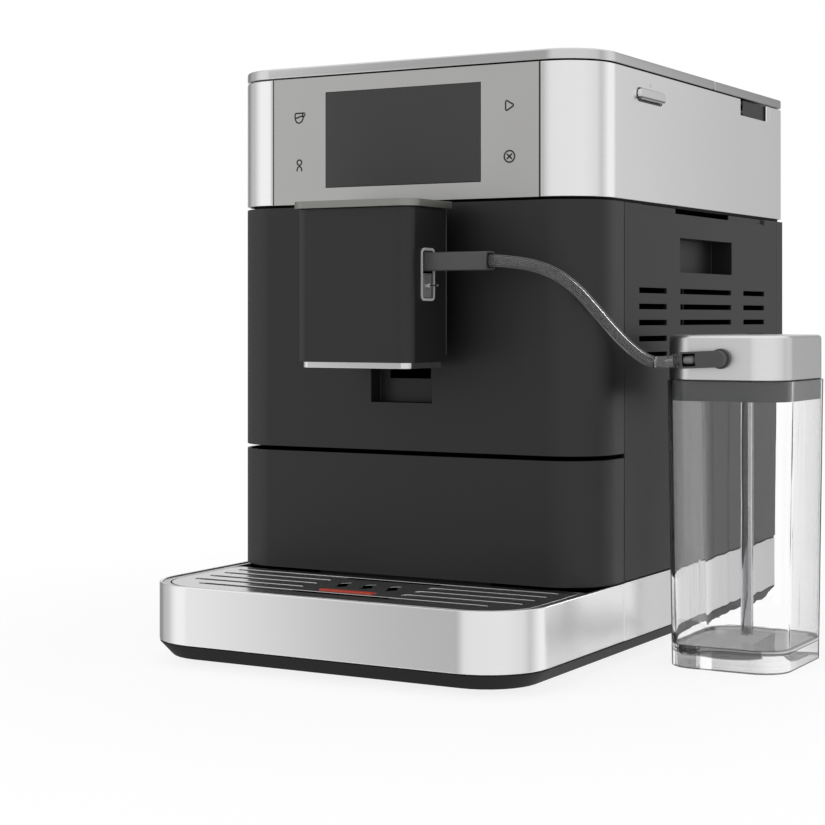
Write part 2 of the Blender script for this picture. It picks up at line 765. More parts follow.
# Black body shells
def vent_cutters(side):
    """Rows of slots through a side panel, side being 1 for the right and -1 for the left."""
    inside, outside = HALF - PANEL_WALL - OVERRUN, HALF + OVERRUN
    low_x, high_x = sorted((side * inside, side * outside))
    cutters = []
    for row in range(VENT_ROWS):
        middle = BODY_TOP - VENT_DROP - row * VENT_PITCH
        for front, back in VENT_COLUMNS:
            low = (low_x, front, middle - VENT_HEIGHT / 2)
            cutters.append(block(low, (high_x, back, middle + VENT_HEIGHT / 2)))
    return merged(cutters)


def make_body():
    outer = front_path(HALF, 0, FRONT_SHELL_DEPTH, BODY_CORNER)
    inner = front_path(HALF - PANEL_WALL, PANEL_WALL, FRONT_SHELL_DEPTH, BODY_CORNER - PANEL_WALL)
    wall = outer + inner[::-1]
    panel = piece("upper_front_panel", prism(wall, UPPER_PANEL_BOTTOM, BODY_TOP), "black_plastic")
    guide_bottom = UPPER_PANEL_BOTTOM + GUIDE_RISE
    guide_top = guide_bottom + GUIDE_HEIGHT
    low = (-GUIDE_HALF_WIDTH - GUIDE_WALL, PANEL_WALL / 2, guide_bottom - GUIDE_WALL)
    high = (GUIDE_HALF_WIDTH + GUIDE_WALL, GUIDE_DEPTH + GUIDE_WALL, guide_top + GUIDE_WALL)
    add(panel, block(low, high))
    slot_bottom = guide_bottom + GUIDE_SLOT_RISE
    slot_low = (-GUIDE_SLOT_HALF_WIDTH, GUIDE_DEPTH - OVERRUN, slot_bottom)
    slot_high = (GUIDE_SLOT_HALF_WIDTH, GUIDE_DEPTH + GUIDE_WALL + OVERRUN, slot_bottom + GUIDE_SLOT_HEIGHT)
    cut(
        panel,
        block((-GUIDE_HALF_WIDTH, -OVERRUN, guide_bottom), (GUIDE_HALF_WIDTH, GUIDE_DEPTH, guide_top)),
        block(slot_low, slot_high),
    )
    low = (-HALF, REAR_SHELL_FRONT, BODY_BOTTOM)
    left = piece("side_panel_left", block(low, (PANEL_WALL - HALF, DEPTH, BODY_TOP)), "side_plastic")
    cut(left, vent_cutters(-1))
    rear_half = HALF - PANEL_WALL - SEAT_GAP
    low = (-rear_half, DEPTH - PANEL_WALL, BODY_BOTTOM)
    rear = piece("rear_panel", block(low, (rear_half, DEPTH, BODY_TOP)), "side_plastic")
    slots = []
    for row in range(REAR_VENT_ROWS):
        middle = BODY_TOP - VENT_DROP - row * VENT_PITCH
        low = (-REAR_VENT_LENGTH / 2, DEPTH - PANEL_WALL - OVERRUN, middle - VENT_HEIGHT / 2)
        slots.append(block(low, (REAR_VENT_LENGTH / 2, DEPTH + OVERRUN, middle + VENT_HEIGHT / 2)))
    opening_x, opening_z = INLET_WIDTH / 2 + SEAT_GAP, INLET_TALL / 2 + SEAT_GAP
    low = (INLET_X - opening_x, DEPTH - PANEL_WALL - OVERRUN, INLET_HEIGHT - opening_z)
    slots.append(block(low, (INLET_X + opening_x, DEPTH + OVERRUN, INLET_HEIGHT + opening_z)))
    cut(rear, merged(slots))


def make_power_inlet():
    back = DEPTH - INLET_RECESS
    low = (INLET_X - INLET_WIDTH / 2, back - INLET_DEPTH, INLET_HEIGHT - INLET_TALL / 2)
    inlet = piece(
        "power_inlet",
        block(low, (INLET_X + INLET_WIDTH / 2, back, INLET_HEIGHT + INLET_TALL / 2)),
        "dark_plastic",
    )
    reach_x, reach_z = INLET_WIDTH / 2 - INLET_WALL, INLET_TALL / 2 - INLET_WALL
    floor = back - INLET_SOCKET_DEPTH
    low = (INLET_X - reach_x, floor, INLET_HEIGHT - reach_z)
    cut(inlet, block(low, (INLET_X + reach_x, back + OVERRUN, INLET_HEIGHT + reach_z)))
    pins = []
    for shift in (-1, 0, 1):
        x = INLET_X + shift * INLET_PIN_SPREAD
        z = INLET_HEIGHT + (INLET_PIN_OFFSET if shift == 0 else -INLET_PIN_OFFSET)
        low = (x - INLET_PIN_WIDTH / 2, floor - OVERRUN, z - INLET_PIN_TALL / 2)
        pins.append(block(low, (x + INLET_PIN_WIDTH / 2, floor + INLET_PIN_LENGTH, z + INLET_PIN_TALL / 2)))
    add(inlet, merged(pins))


# Side door, which tilts out about its bottom edge
DOOR_AXIS = (HALF - PANEL_WALL / 2, (REAR_SHELL_FRONT + DEPTH) / 2, BODY_BOTTOM + DOOR_PIVOT_RISE)


def make_side_door():
    frame = moving_frame("side_door_axis", DOOR_AXIS)
    low = (HALF - PANEL_WALL, REAR_SHELL_FRONT, BODY_BOTTOM)
    door = piece("side_door", block(low, (HALF, DEPTH, BODY_TOP)), "side_plastic", frame, DOOR_AXIS)
    grip_top = BODY_TOP - GRIP_DROP
    grip_bottom = grip_top - GRIP_HEIGHT
    grip_back = GRIP_FRONT + GRIP_LENGTH
    low = (HALF - GRIP_DEPTH - GRIP_WALL, GRIP_FRONT - GRIP_WALL, grip_bottom - GRIP_WALL)
    add(door, block(low, (HALF - PANEL_WALL / 2, grip_back + GRIP_WALL, grip_top + GRIP_WALL)))
    scoop_low = (HALF - SCOOP_DEPTH, SCOOP_FRONT, BODY_TOP - SCOOP_HEIGHT)
    slot_low = (HALF - PANEL_WALL - OVERRUN, DOOR_SLOT_FRONT, BODY_TOP - SCOOP_HEIGHT)
    cut(
        door,
        block((HALF - GRIP_DEPTH, GRIP_FRONT, grip_bottom), (HALF + OVERRUN, grip_back, grip_top)),
        block(scoop_low, (HALF + OVERRUN, SCOOP_FRONT + SCOOP_LENGTH, BODY_TOP + OVERRUN)),
        block(slot_low, (HALF + OVERRUN, DOOR_SLOT_FRONT + DOOR_SLOT_LENGTH, BODY_TOP + OVERRUN)),
        vent_cutters(1),
    )


# Steel upper band, control panel, screen and release button
def pill(low_x, high_x, margin):
    """An obround bar along X whose long side runs along Y."""
    middle = BUTTON_FRONT + BUTTON_LENGTH / 2
    height = FASCIA_TOP - BUTTON_DROP
    reach, half = BUTTON_LENGTH / 2 + margin, BUTTON_HEIGHT / 2 + margin
    outline = [(y, x) for x, y in obround(-reach, reach, 0, half)][::-1]
    return along_x(prism(outline, 0, high_x - low_x), (low_x, middle, height))


def make_top_band():
    def ring(half, front, back, front_radius, back_radius):
        right = arc((half - front_radius, front + front_radius), front_radius, -math.pi / 2)
        right += arc((half - back_radius, back - back_radius), back_radius, 0)
        opening = CONTROL_HALF_WIDTH + SEAT_GAP / 2
        whole = [(opening, front), *right]
        return whole + [(-x, y) for x, y in whole[::-1]]

    outer = ring(HALF, 0, DEPTH, BODY_CORNER, REAR_CORNER)
    wall = UPPER_BAND_WALL
    inner = ring(HALF - wall, wall, DEPTH - wall, BODY_CORNER - wall, REAR_CORNER - wall)
    band = piece("upper_band", prism(outer + inner[::-1], FASCIA_BOTTOM, FASCIA_TOP), "brushed_steel")
    notch_low = (HALF - wall - OVERRUN, NOTCH_FRONT, FASCIA_TOP - NOTCH_DEPTH)
    notch_high = (HALF + OVERRUN, NOTCH_FRONT + NOTCH_LENGTH, FASCIA_TOP + OVERRUN)
    cut(band, merged([block(notch_low, notch_high), pill(HALF - wall - OVERRUN, HALF + OVERRUN, SEAT_GAP)]))
    half = CONTROL_HALF_WIDTH - SEAT_GAP / 2
    low = (-half, 0, FASCIA_BOTTOM)
    panel = piece("control_panel", block(low, (half, CONTROL_THICKNESS, FASCIA_TOP)), "brushed_steel")
    screen_bottom = FASCIA_BOTTOM + SCREEN_RISE
    screen_top = screen_bottom + SCREEN_HEIGHT
    low = (-SCREEN_HALF_WIDTH, -OVERRUN, screen_bottom)
    cut(panel, block(low, (SCREEN_HALF_WIDTH, CONTROL_THICKNESS + OVERRUN, screen_top)))
    half = SCREEN_HALF_WIDTH - SEAT_GAP
    low = (-half, 0, screen_bottom + SEAT_GAP)
    piece("touch_screen", block(low, (half, SCREEN_DEPTH, screen_top - SEAT_GAP)), "screen_glass")


BUTTON_AXIS = (HALF, BUTTON_FRONT + BUTTON_LENGTH / 2, FASCIA_TOP - BUTTON_DROP)


def make_release_button():
    frame = moving_frame("release_button_axis", BUTTON_AXIS)
    inside = HALF - UPPER_BAND_WALL - SEAT_GAP
    start = inside - BUTTON_INSIDE
    button = piece("release_button", pill(start, HALF + BUTTON_PROUD, 0), "polished_steel", frame, BUTTON_AXIS)
    add(button, pill(start, inside - BUTTON_TRAVEL / 2, BUTTON_FLANGE))


# Lids on the top
def front_lid_axis():
    return (0, LID_SPLIT - LID_GAP / 2 - FRONT_PIN_INSET, LID_TOP - FRONT_PIN_DROP)


def tank_lid_axis():
    return (-HALF + TANK_PIN_INSET, (LID_SPLIT + DEPTH) / 2, LID_BOTTOM + TANK_PIN_RISE)


def make_front_lid():
    axis = front_lid_axis()
    frame = moving_frame("front_lid_axis", axis)
    back = LID_SPLIT - LID_GAP / 2
    slab = prism(rounded_plan(HALF, 0, back, BODY_CORNER, 0), LID_BOTTOM, LID_TOP)
    heel = [
        edge
        for edge in slab.edges
        if all(vert.co.z < LID_BOTTOM + SEAT_GAP and vert.co.y > back - SEAT_GAP for vert in edge.verts)
    ]
    bevelled(slab, heel, LID_HEEL)
    lid = piece("front_lid", round_all(slab, LID_EDGE), "brushed_steel", frame, axis)
    reach = FRONT_PIN_HALF_LENGTH + RUNNING_GAP
    bore = rod_x((-reach, axis[1], axis[2]), FRONT_PIN_RADIUS + RUNNING_GAP, 2 * reach, ROUND_STEPS // 2)
    notch = LUG_WIDTH / 2 + RUNNING_GAP
    front = axis[1] - LUG_HALF_DEPTH - NOTCH_MARGIN
    notches = [
        block((x - notch, front, LID_BOTTOM - OVERRUN), (x + notch, back + OVERRUN, LID_TOP + OVERRUN))
        for x in (-LUG_SPREAD, LUG_SPREAD)
    ]
    cut(lid, bore, merged(notches))
    start = (-FRONT_PIN_HALF_LENGTH, axis[1], axis[2])
    pin = rod_x(start, FRONT_PIN_RADIUS, 2 * FRONT_PIN_HALF_LENGTH, ROUND_STEPS // 2)
    piece("front_lid_pin", pin, "polished_steel")


TANK_LUG_PLACES = (LID_SPLIT + LUG_WIDTH * 2, DEPTH - LUG_WIDTH * 2)


def make_tank_lid(tank_frame, tank_axis):
    axis = tank_lid_axis()
    frame = moving_frame("tank_lid_axis", axis, tank_frame, tank_axis)
    front = LID_SPLIT + LID_GAP / 2
    slab = prism(rounded_plan(HALF, front, DEPTH, 0, REAR_CORNER), LID_BOTTOM, LID_TOP)
    lid = piece("tank_lid", round_all(slab, LID_EDGE), "brushed_steel", frame, axis)
    start = TANK_LUG_PLACES[0] - LUG_WIDTH
    length = TANK_LUG_PLACES[1] - TANK_LUG_PLACES[0] + 2 * LUG_WIDTH
    bore_start = (axis[0], start - RUNNING_GAP, axis[2])
    bore = rod_y(bore_start, TANK_PIN_RADIUS + SEAT_GAP, length + 2 * RUNNING_GAP, ROUND_STEPS // 2)
    reach = LUG_WIDTH / 2 + RUNNING_GAP
    right = axis[0] + TANK_LUG_HALF_DEPTH + NOTCH_MARGIN + RUNNING_GAP
    notches = [
        block((-HALF - OVERRUN, y - reach, LID_BOTTOM - OVERRUN), (right, y + reach, LID_TOP + OVERRUN))
        for y in TANK_LUG_PLACES
    ]
    cut(lid, bore, merged(notches))
    pin = rod_y((axis[0], start, axis[2]), TANK_PIN_RADIUS, length, ROUND_STEPS // 2)
    piece("tank_lid_pin", pin, "polished_steel", tank_frame, tank_axis)


# Bean hopper with its flange, hinge lugs and the cup of the grind dial
DIAL_AXIS = (DIAL_X, DIAL_Y, FASCIA_TOP - HOPPER_FLANGE_DROP - DIAL_CUP_DEPTH)


def make_hopper():
    flange_top = FASCIA_TOP - HOPPER_FLANGE_DROP
    flange_bottom = flange_top - HOPPER_WALL
    inset = UPPER_BAND_WALL + SEAT_GAP
    flange_front = max(CONTROL_THICKNESS, UPPER_BAND_WALL) + SEAT_GAP
    flange_back = LID_SPLIT - LID_GAP
    corner = BODY_CORNER - inset
    flange = prism(rounded_plan(HALF - inset, flange_front, flange_back, corner, 0), flange_bottom, flange_top)
    hopper = piece("bean_hopper", flange, "clear_smoke")

    def funnel(shift, bottom, top):
        wide = rectangle(
            -HOPPER_HALF_WIDTH + shift, HOPPER_HALF_WIDTH - shift, HOPPER_FRONT + shift, HOPPER_BACK - shift
        )
        throat = THROAT_HALF - shift
        narrow = rectangle(GRINDER_X - throat, GRINDER_X + throat, GRINDER_Y - throat, GRINDER_Y + throat)
        shoulder = flange_top - HOPPER_STRAIGHT
        levels = [(narrow, bottom), (narrow, DECK_TOP + OVERRUN), (wide, shoulder), (wide, top)]
        return loft(levels)

    axis = front_lid_axis()
    cup_radius = DIAL_RADIUS + DIAL_CUP_GAP
    cup_bottom = DIAL_AXIS[2] - DIAL_CUP_WALL
    cup = prism(circle(DIAL_X, DIAL_Y, cup_radius + DIAL_CUP_WALL), cup_bottom, flange_top - HOPPER_WALL / 2)
    lug_top = axis[2] + LUG_ABOVE_PIN
    lug_back = min(axis[1] + LUG_HALF_DEPTH, flange_back)
    lugs = [
        block(
            (x - LUG_WIDTH / 2, axis[1] - LUG_HALF_DEPTH, flange_bottom + HOPPER_WALL / 2),
            (x + LUG_WIDTH / 2, lug_back, lug_top),
        )
        for x in (-LUG_SPREAD, LUG_SPREAD)
    ]
    add(hopper, funnel(0, DECK_TOP + SEAT_GAP, flange_top - HOPPER_WALL / 2), cup, merged(lugs))
    reach = FRONT_PIN_HALF_LENGTH + OVERRUN
    cut(
        hopper,
        funnel(HOPPER_WALL, DECK_TOP - OVERRUN, flange_top + OVERRUN),
        prism(circle(DIAL_X, DIAL_Y, cup_radius), DIAL_AXIS[2], flange_top + OVERRUN),
        prism(
            circle(DIAL_X, DIAL_Y, DIAL_SHAFT_RADIUS + RUNNING_GAP),
            cup_bottom - OVERRUN,
            DIAL_AXIS[2] + OVERRUN,
        ),
        rod_x((-reach, axis[1], axis[2]), FRONT_PIN_RADIUS + SEAT_GAP, 2 * reach, ROUND_STEPS // 2),
    )


def make_grind_dial():
    frame = moving_frame("grind_dial_axis", DIAL_AXIS)
    bottom = DIAL_AXIS[2] + SEAT_GAP
    profile = (
        (DIAL_SHAFT_RADIUS, bottom - DIAL_SHAFT_LENGTH),
        (DIAL_SHAFT_RADIUS, bottom),
        (DIAL_RADIUS, bottom),
        (DIAL_RADIUS, bottom + DIAL_HEIGHT / 2),
    )
    dial = piece("grind_dial", turned(DIAL_X, DIAL_Y, profile), "grey_plastic", frame, DIAL_AXIS)
    reach = DIAL_RADIUS - DIAL_CUP_WALL
    low = (DIAL_X - reach, DIAL_Y - DIAL_GRIP_WIDTH / 2, bottom + SEAT_GAP)
    add(dial, block(low, (DIAL_X + reach, DIAL_Y + DIAL_GRIP_WIDTH / 2, bottom + DIAL_HEIGHT)))


# Grinder under the hopper
GRINDER_TOP = DECK_BOTTOM - SEAT_GAP
GRINDER_BOTTOM = GRINDER_TOP - GRINDER_HEIGHT
GRINDER_FLOOR = GRINDER_BOTTOM + GRINDER_FLOOR_RISE
BURR_RADIUS = GRINDER_RADIUS - GRINDER_WALL - BURR_SIDE_GAP
UPPER_BURR_TOP = GRINDER_TOP - GRINDER_WALL - SEAT_GAP
LOWER_BURR_TOP = UPPER_BURR_TOP - BURR_THICKNESS - BURR_GAP
BURR_AXIS = (GRINDER_X, GRINDER_Y, LOWER_BURR_TOP)


def make_grinder():
    def ring(radius):
        return circle(GRINDER_X, GRINDER_Y, radius)

    housing = piece("grinder_housing", prism(ring(GRINDER_RADIUS), GRINDER_BOTTOM, GRINDER_TOP), "cast_metal")
    outlet_bottom = GRINDER_FLOOR + GRINDER_WALL
    low = (GRINDER_X + BURR_RADIUS / 2, GRINDER_Y - GRINDER_OUTLET_WIDTH / 2, outlet_bottom)
    high = (
        GRINDER_X + GRINDER_RADIUS + OVERRUN,
        GRINDER_Y + GRINDER_OUTLET_WIDTH / 2,
        outlet_bottom + GRINDER_OUTLET_HEIGHT,
    )
    inner = GRINDER_RADIUS - GRINDER_WALL
    cut(
        housing,
        prism(ring(inner), outlet_bottom, GRINDER_TOP - GRINDER_WALL),
        prism(ring(THROAT_HALF), GRINDER_TOP - GRINDER_WALL - OVERRUN, GRINDER_TOP + OVERRUN),
        prism(ring(BURR_SHAFT_RADIUS + RUNNING_GAP), GRINDER_FLOOR - OVERRUN, outlet_bottom + OVERRUN),
        prism(ring(inner), GRINDER_BOTTOM - OVERRUN, GRINDER_FLOOR),
        block(low, high),
    )
    bottom = UPPER_BURR_TOP - BURR_THICKNESS
    burr = piece("upper_burr", prism(ring(BURR_RADIUS), bottom, UPPER_BURR_TOP), "cast_metal")
    wide, narrow = ring(BURR_BORE + BURR_GAP * 2), ring(BURR_BORE)
    cut(burr, loft([(wide, bottom - OVERRUN), (narrow, UPPER_BURR_TOP + OVERRUN)]))
    frame = moving_frame("burr_axis", BURR_AXIS)
    carrier = BURR_RADIUS - BURR_SIDE_GAP
    shaft_bottom = LOWER_BURR_TOP - CARRIER_THICKNESS - BURR_SHAFT_LENGTH
    profile = (
        (BURR_SHAFT_RADIUS, shaft_bottom),
        (BURR_SHAFT_RADIUS, LOWER_BURR_TOP - CARRIER_THICKNESS),
        (carrier, LOWER_BURR_TOP - CARRIER_THICKNESS),
        (carrier, LOWER_BURR_TOP),
        (BURR_BORE - BURR_GAP * 2, LOWER_BURR_TOP),
        (BURR_SHAFT_RADIUS, LOWER_BURR_TOP + BURR_CONE_HEIGHT),
    )
    lower = piece("lower_burr", turned(GRINDER_X, GRINDER_Y, profile), "polished_steel", frame, BURR_AXIS)
    groove = CARRIER_THICKNESS / 4
    low = (GRINDER_X + BURR_BORE, GRINDER_Y - groove, LOWER_BURR_TOP - groove)
    cut(lower, block(low, (GRINDER_X + GRINDER_RADIUS, GRINDER_Y + groove, LOWER_BURR_TOP + OVERRUN)))
    motor_top = GRINDER_FLOOR - SEAT_GAP
    motor_bottom = motor_top - MOTOR_HEIGHT
    motor = piece("grinder_motor", prism(ring(MOTOR_RADIUS), motor_bottom, motor_top), "dark_plastic")
    bore_bottom = shaft_bottom - MOTOR_BORE_DEPTH / 4
    cut(motor, prism(ring(BURR_SHAFT_RADIUS + RUNNING_GAP), bore_bottom, motor_top + OVERRUN))


# Brew group on the shelf, fed by the powder chute
BREW_FRAME_TOP = SHELF_TOP + SEAT_GAP + BREW_FRAME_HEIGHT
CHAMBER_TOP = BREW_FRAME_TOP + SEAT_GAP + CHAMBER_FLANGE_THICKNESS
CHAMBER_BOTTOM = CHAMBER_TOP - CHAMBER_HEIGHT
CHAMBER_INNER = CHAMBER_RADIUS - CHAMBER_WALL
GEARBOX_TOP = SHELF_TOP + SEAT_GAP + GEARBOX_HEIGHT
PISTON_BOTTOM = CHAMBER_BOTTOM + PISTON_RISE
BREW_AXIS = (BREW_X, BREW_Y, GEARBOX_TOP)


def make_brew_group():
    def ring(radius):
        return circle(BREW_X, BREW_Y, radius)

    half = CHAMBER_RADIUS + CHAMBER_FLANGE + BREW_CHEEK
    deep = BREW_CHEEK_DEPTH / 2
    bottom = SHELF_TOP + SEAT_GAP
    low = (BREW_X - half, BREW_Y - deep, bottom)
    frame = piece("brew_frame", block(low, (BREW_X + half, BREW_Y + deep, BREW_FRAME_TOP)), "sheet_steel")
    inner_low = (BREW_X - half + BREW_CHEEK, BREW_Y - deep - OVERRUN, bottom - OVERRUN)
    inner_high = (BREW_X + half - BREW_CHEEK, BREW_Y + deep + OVERRUN, BREW_FRAME_TOP - BREW_CHEEK)
    cut(
        frame,
        block(inner_low, inner_high),
        prism(ring(CHAMBER_RADIUS + SEAT_GAP), BREW_FRAME_TOP - BREW_CHEEK - OVERRUN, BREW_FRAME_TOP + OVERRUN),
    )
    profile = (
        (CHAMBER_RADIUS, CHAMBER_BOTTOM),
        (CHAMBER_RADIUS, BREW_FRAME_TOP + SEAT_GAP),
        (CHAMBER_RADIUS + CHAMBER_FLANGE, BREW_FRAME_TOP + SEAT_GAP),
        (CHAMBER_RADIUS + CHAMBER_FLANGE, CHAMBER_TOP),
    )
    chamber = piece("brew_chamber", turned(BREW_X, BREW_Y, profile), "grey_plastic")
    cut(chamber, prism(ring(CHAMBER_INNER), CHAMBER_BOTTOM - OVERRUN, CHAMBER_TOP + OVERRUN))
    piston_frame = moving_frame("piston_axis", BREW_AXIS)
    profile = (
        (PISTON_ROD_RADIUS, PISTON_BOTTOM - PISTON_ROD_LENGTH),
        (PISTON_ROD_RADIUS, PISTON_BOTTOM),
        (CHAMBER_INNER - PISTON_SIDE_GAP, PISTON_BOTTOM),
        (CHAMBER_INNER - PISTON_SIDE_GAP, PISTON_BOTTOM + PISTON_THICKNESS),
    )
    piston = piece("brew_piston", turned(BREW_X, BREW_Y, profile), "white_plastic", piston_frame, BREW_AXIS)
    hollow_top = PISTON_BOTTOM + PISTON_THICKNESS / 4
    cut(
        piston,
        prism(ring(SPINDLE_RADIUS + RUNNING_GAP), PISTON_BOTTOM - PISTON_ROD_LENGTH - OVERRUN, hollow_top),
    )
    spindle_frame = moving_frame("spindle_axis", BREW_AXIS)
    spindle_bottom = GEARBOX_TOP - SPINDLE_SEAT
    spindle = prism(ring(SPINDLE_RADIUS), spindle_bottom, spindle_bottom + SPINDLE_LENGTH)
    piece("brew_spindle", spindle, "polished_steel", spindle_frame, BREW_AXIS)
    low = (BREW_X - GEARBOX_WIDTH / 2, BREW_Y - GEARBOX_WIDTH / 2, bottom)
    high = (BREW_X + GEARBOX_WIDTH / 2, BREW_Y + GEARBOX_WIDTH / 2, GEARBOX_TOP)
    gearbox = piece("brew_gear_motor", block(low, high), "dark_plastic")
    start = (BREW_X, BREW_Y + GEARBOX_WIDTH / 2 - OVERRUN, bottom + GEARBOX_HEIGHT / 2)
    add(gearbox, rod_y(start, GEARMOTOR_RADIUS, GEARMOTOR_LENGTH))
    cut(gearbox, prism(ring(SPINDLE_RADIUS + SEAT_GAP), spindle_bottom - SEAT_GAP, GEARBOX_TOP + OVERRUN))


def make_powder_chute():
    """A sloping channel from the grinder's outlet to the mouth of the brew chamber."""
    start = GRINDER_X + GRINDER_RADIUS + SEAT_GAP
    outlet_bottom = GRINDER_FLOOR + GRINDER_WALL - CHUTE_WALL
    high = outlet_bottom + CHUTE_TALL + CHUTE_WALL
    low = CHAMBER_TOP + SEAT_GAP
    near = BREW_X - CHAMBER_INNER / 2
    far = BREW_X + CHAMBER_INNER / 2

    def channel(shift, overrun, half_width):
        outline = [
            (start - overrun, outlet_bottom + shift),
            (near + shift, low + CHUTE_LIP + shift),
            (near + shift, low - overrun),
            (far - shift, low - overrun),
            (far - shift, low + CHUTE_TALL - shift),
            (near, high - shift),
            (start - overrun, high - shift),
        ]
        shape = prism([(x, -z) for x, z in outline][::-1], -half_width, half_width)
        bmesh.ops.transform(shape, matrix=Matrix.Rotation(-math.pi / 2, 4, "X"), verts=shape.verts)
        bmesh.ops.translate(shape, verts=shape.verts, vec=(0, (GRINDER_Y + BREW_Y) / 2, 0))
        return shape

    chute = piece("powder_chute", channel(0, 0, CHUTE_WIDTH / 2), "dark_plastic")
    cut(chute, channel(CHUTE_WALL, OVERRUN, CHUTE_WIDTH / 2 - CHUTE_WALL))


# Rear compartment: heater, pump, board and valve
def make_rear_compartment():
    floor = FLOOR_TOP + SEAT_GAP
    front = BULKHEAD_BACK + SEAT_GAP
    low = (BLOCK_X - BLOCK_WIDTH / 2, front, floor)
    high = (BLOCK_X + BLOCK_WIDTH / 2, front + BLOCK_DEPTH, floor + BLOCK_HEIGHT)
    heater = piece("thermoblock", block(low, high), "cast_metal")
    stub = floor + BLOCK_HEIGHT - OVERRUN
    middle = front + BLOCK_DEPTH / 2
    stubs = [
        prism(circle(x, middle, BLOCK_STUB_RADIUS, ROUND_STEPS // 2), stub, stub + BLOCK_STUB_LENGTH)
        for x in (BLOCK_X - BLOCK_WIDTH / 4, BLOCK_X + BLOCK_WIDTH / 4)
    ]
    add(heater, merged(stubs))
    neck = (0, PUMP_NECK_LENGTH, PUMP_NECK_LENGTH + PUMP_LENGTH, 2 * PUMP_NECK_LENGTH + PUMP_LENGTH)
    profile = (
        (PUMP_NECK_RADIUS, neck[0]),
        (PUMP_NECK_RADIUS, neck[1]),
        (PUMP_RADIUS, neck[1]),
        (PUMP_RADIUS, neck[2]),
        (PUMP_NECK_RADIUS, neck[2]),
        (PUMP_NECK_RADIUS, neck[3]),
    )
    centre = (PUMP_X - neck[3] / 2, PUMP_Y, floor + PUMP_RADIUS)
    piece("pump", along_x(turned(0, 0, profile), centre), "dark_plastic")
    bottom = FLOOR_TOP + BOARD_RISE
    low = (BOARD_X - BOARD_WIDTH / 2, front, bottom)
    high = (BOARD_X + BOARD_WIDTH / 2, front + BOARD_THICKNESS, bottom + BOARD_HEIGHT)
    board = piece("control_board", block(low, high), "green_board")
    parts = []
    for shift, rise, width, depth in BOARD_PARTS:
        x = BOARD_X + shift
        low = (x - width / 2, front + BOARD_THICKNESS / 2, bottom + rise)
        high = (x + width / 2, front + BOARD_THICKNESS + depth, bottom + rise + BOARD_PART_HEIGHT)
        parts.append(block(low, high))
    add(board, merged(parts))
    bottom = FLOOR_TOP + VALVE_RISE
    low = (VALVE_X - VALVE_WIDTH / 2, front, bottom)
    high = (VALVE_X + VALVE_WIDTH / 2, front + VALVE_WIDTH, bottom + VALVE_HEIGHT)
    valve = piece("water_valve", block(low, high), "dark_plastic")
    middle = front + VALVE_WIDTH / 2
    ends = [
        prism(circle(VALVE_X, middle, VALVE_STUB_RADIUS, ROUND_STEPS // 2), start, start + length)
        for start, length in (
            (bottom - VALVE_STUB_LENGTH, VALVE_STUB_LENGTH + OVERRUN),
            (bottom + VALVE_HEIGHT - OVERRUN, VALVE_STUB_LENGTH + OVERRUN),
        )
    ]
    add(valve, merged(ends))


# Water tank, lifted out upwards with its lid
TANK_AXIS = (0, (TANK_FRONT + TANK_BACK) / 2, DECK_TOP + SEAT_GAP)


def make_tank():
    frame = moving_frame("water_tank_axis", TANK_AXIS)
    bottom = DECK_TOP + SEAT_GAP
    flange_top = FASCIA_TOP - TANK_FLANGE_DROP
    body = rounded_plan(TANK_HALF_WIDTH, TANK_FRONT, TANK_BACK, TANK_CORNER, TANK_CORNER)
    tank = piece("water_tank", prism(body, bottom, flange_top), "clear_smoke", frame, TANK_AXIS)
    inset = UPPER_BAND_WALL + TANK_FLANGE_GAP
    flange = rounded_plan(HALF - inset, LID_SPLIT + LID_GAP, DEPTH - inset, 0, max(REAR_CORNER - inset, 0))
    axis = tank_lid_axis()
    foot_right = axis[0] + 2 * TANK_LUG_HALF_DEPTH
    lugs = []
    for y in TANK_LUG_PLACES:
        low_y, high_y = y - LUG_WIDTH / 2, y + LUG_WIDTH / 2
        foot = (inset - HALF, low_y, flange_top - TANK_FLANGE_THICKNESS / 2)
        lugs.append(block(foot, (foot_right, high_y, LID_BOTTOM - SEAT_GAP)))
        head = (axis[0] - TANK_LUG_HALF_DEPTH, low_y, FASCIA_TOP + SEAT_GAP)
        lugs.append(block(head, (axis[0] + TANK_LUG_HALF_DEPTH, high_y, axis[2] + LUG_ABOVE_PIN)))
    centre_y = (TANK_FRONT + TANK_BACK) / 2
    spigot = prism(
        circle(TANK_OUTLET_X, centre_y, TANK_OUTLET_RADIUS), bottom - TANK_OUTLET_LENGTH, bottom + TANK_WALL / 2
    )
    add(tank, prism(flange, flange_top - TANK_FLANGE_THICKNESS, flange_top), *lugs, spigot)
    hollow = rounded_plan(
        TANK_HALF_WIDTH - TANK_WALL,
        TANK_FRONT + TANK_WALL,
        TANK_BACK - TANK_WALL,
        TANK_CORNER - TANK_WALL,
        TANK_CORNER - TANK_WALL,
    )
    start = TANK_LUG_PLACES[0] - LUG_WIDTH
    length = TANK_LUG_PLACES[1] - TANK_LUG_PLACES[0] + 2 * LUG_WIDTH
    cut(
        tank,
        prism(hollow, bottom + TANK_WALL, flange_top + OVERRUN),
        prism(
            circle(TANK_OUTLET_X, centre_y, TANK_OUTLET_BORE),
            bottom - TANK_OUTLET_LENGTH - OVERRUN,
            bottom + TANK_WALL + OVERRUN,
        ),
        rod_y((axis[0], start, axis[2]), TANK_PIN_RADIUS + SEAT_GAP, length, ROUND_STEPS // 2),
    )
    make_tank_lid(frame, TANK_AXIS)


